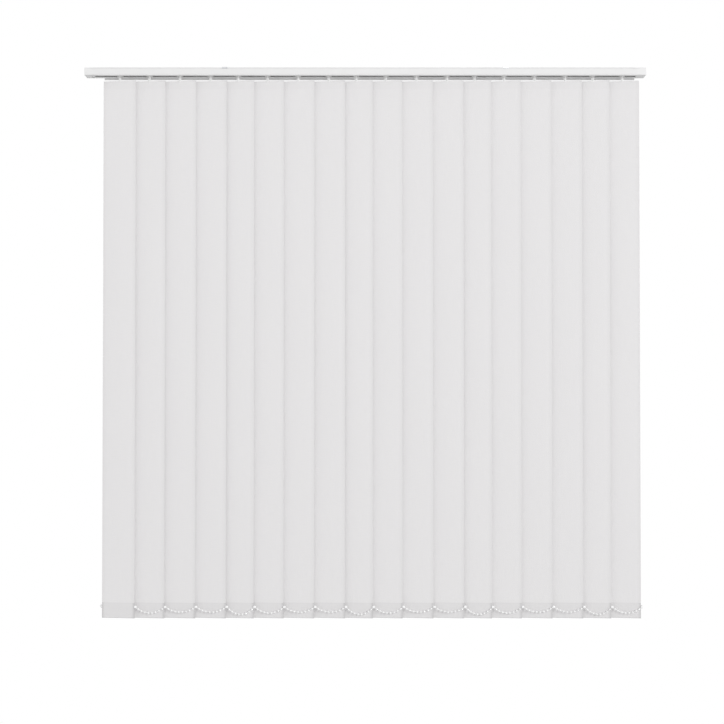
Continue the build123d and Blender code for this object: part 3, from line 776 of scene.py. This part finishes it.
def make_floor():
    """A pale floor far below the slats: diffuse near the blind, to keep its shadow, and white further away.

    It is clear from beneath, so that the rail can be seen from below too.
    """
    mesh = bpy.data.meshes.new("floor")
    corners = np.array([[-1, -1, 0], [1, -1, 0], [1, 1, 0], [-1, 1, 0]]) * FLOOR_REACH + [0, 0, FLOOR_Z]
    mesh.from_pydata(corners.tolist(), [], [[0, 1, 2, 3]])
    floor = bpy.data.objects.new("floor", mesh)
    bpy.context.collection.objects.link(floor)
    material = bpy.data.materials.new("pale_floor")
    material.use_nodes = True
    tree = material.node_tree
    shader = tree.nodes["Principled BSDF"]
    shader.inputs["Base Color"].default_value = (0.86, 0.86, 0.86, 1)
    shader.inputs["Roughness"].default_value = 0.9
    glow = tree.nodes.new("ShaderNodeEmission")
    glow.inputs["Color"].default_value = (1, 1, 1, 1)
    place = tree.nodes.new("ShaderNodeTexCoord").outputs["Object"]
    away = tree.nodes.new("ShaderNodeVectorMath")
    away.operation = "LENGTH"
    tree.links.new(place, away.inputs[0])
    fade = tree.nodes.new("ShaderNodeMapRange")
    fade.interpolation_type = "SMOOTHSTEP"
    fade.inputs["From Min"].default_value = SHADOW_REACH
    fade.inputs["From Max"].default_value = WHITE_REACH
    tree.links.new(away.outputs["Value"], fade.inputs["Value"])
    white = math_node(tree, "MULTIPLY", fade.outputs["Result"], seen_rays(tree))
    from_above = tree.nodes.new("ShaderNodeMixShader")
    tree.links.new(white, from_above.inputs["Fac"])
    tree.links.new(shader.outputs["BSDF"], from_above.inputs[1])
    tree.links.new(glow.outputs["Emission"], from_above.inputs[2])
    below = tree.nodes.new("ShaderNodeNewGeometry").outputs["Backfacing"]
    clear = tree.nodes.new("ShaderNodeBsdfTransparent").outputs["BSDF"]
    surface = tree.nodes.new("ShaderNodeMixShader")
    tree.links.new(below, surface.inputs["Fac"])
    tree.links.new(from_above.outputs["Shader"], surface.inputs[1])
    tree.links.new(clear, surface.inputs[2])
    tree.links.new(surface.outputs["Shader"], tree.nodes["Material Output"].inputs["Surface"])
    mesh.materials.append(material)


def make_world(level):
    """An even pale sky that lights the blind at a plain level and shows as white."""
    world = bpy.data.worlds.new("studio")
    bpy.context.scene.world = world
    world.use_nodes = True
    tree = world.node_tree
    sky = tree.nodes["Background"]
    sky.inputs["Color"].default_value = (1, 1, 1, 1)
    strength = tree.nodes.new("ShaderNodeMapRange")
    strength.inputs["To Min"].default_value = level
    strength.inputs["To Max"].default_value = 1.0
    tree.links.new(seen_rays(tree), strength.inputs["Value"])
    tree.links.new(strength.outputs["Result"], sky.inputs["Strength"])


def soft_light(name, place, target, size, power):
    """A square soft box that faces a target."""
    lamp = bpy.data.lights.new(name, "AREA")
    lamp.size = size
    lamp.energy = power
    box = bpy.data.objects.new(name, lamp)
    bpy.context.collection.objects.link(box)
    box.location = place
    box.rotation_euler = (Vector(target) - Vector(place)).to_track_quat("-Z", "Y").to_euler()


def make_camera():
    """The camera, in front of the blind and tipped up a little."""
    lens = bpy.data.cameras.new("camera")
    lens.lens = CAMERA_LENS
    lens.sensor_width = 36.0
    lens.shift_y = CAMERA_SHIFT
    camera = bpy.data.objects.new("camera", lens)
    bpy.context.collection.objects.link(camera)
    camera.location = CAMERA_PLACE
    camera.rotation_euler = (radians(90 + CAMERA_RISE), 0, 0)
    bpy.context.scene.camera = camera


make_floor()
make_world(SKY_LEVEL)
# The key light is aimed far past the left end, so that its falloff leaves the row evenly lit
soft_light("key", place=(5.2, -11.0, 2.4), target=(-40.0, 0, -0.75), size=6.0, power=955)
make_camera()
bpy.context.scene.view_settings.view_transform = "Standard"
